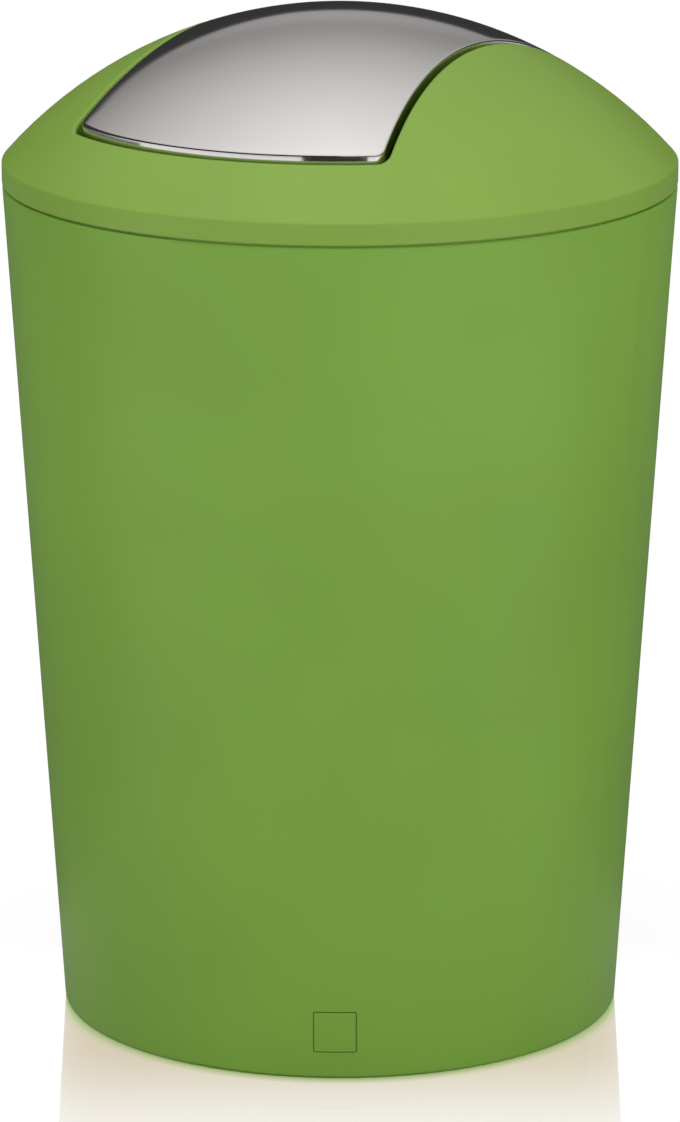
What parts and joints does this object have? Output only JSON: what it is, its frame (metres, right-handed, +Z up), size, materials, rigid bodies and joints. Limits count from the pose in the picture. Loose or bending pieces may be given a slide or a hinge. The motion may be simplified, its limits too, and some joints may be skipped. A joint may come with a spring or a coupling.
{
  "type": "swing-lid bin",
  "caption": "Tapered round bin with a domed lift-off lid and a waisted metal flap that swings both ways about a level axis and hangs level by its own weight.",
  "frame": {"origin": "on the floor under the centre of the bin", "axes": "+Z up, X along the flap's swing axis, -Y towards one end of the flap"},
  "size_m": [0.2504, 0.2504, 0.3803],
  "materials": {
    "body_plastic": "satin green moulded plastic",
    "lid_plastic": "satin green moulded plastic",
    "badge": "satin green plate, bare",
    "flap_metal": "polished stainless steel",
    "carrier_plastic": "dark grey moulded plastic",
    "bush_plastic": "natural acetal",
    "pin_steel": "turned steel",
    "bar_steel": "zinc-plated steel bar"
  },
  "bodies": {
    "body": {"bin_body": "body_plastic", "badge_plate": "badge"},
    "lid": {"lid_shell": "lid_plastic", "pivot_bush_left": "bush_plastic", "pivot_bush_right": "bush_plastic"},
    "flap": {"flap_skin": "flap_metal", "flap_carrier": "carrier_plastic", "pivot_pin_left": "pin_steel", "pivot_pin_right": "pin_steel", "thrust_washer_left": "bush_plastic", "thrust_washer_right": "bush_plastic", "counterweight_bar": "bar_steel", "counterweight_screws": "pin_steel"}
  },
  "joints": [
    {"name": "lid_lift", "type": "slide", "parent": "body", "child": "lid", "axis": [0, 0, 1], "range_m": [0, 0.12]},
    {"name": "flap_swing", "type": "hinge", "parent": "lid", "child": "flap", "pos_m": [0, 0, 0.35888], "axis": [1, 0, 0], "range_deg": [-70, 70]}
  ]
}
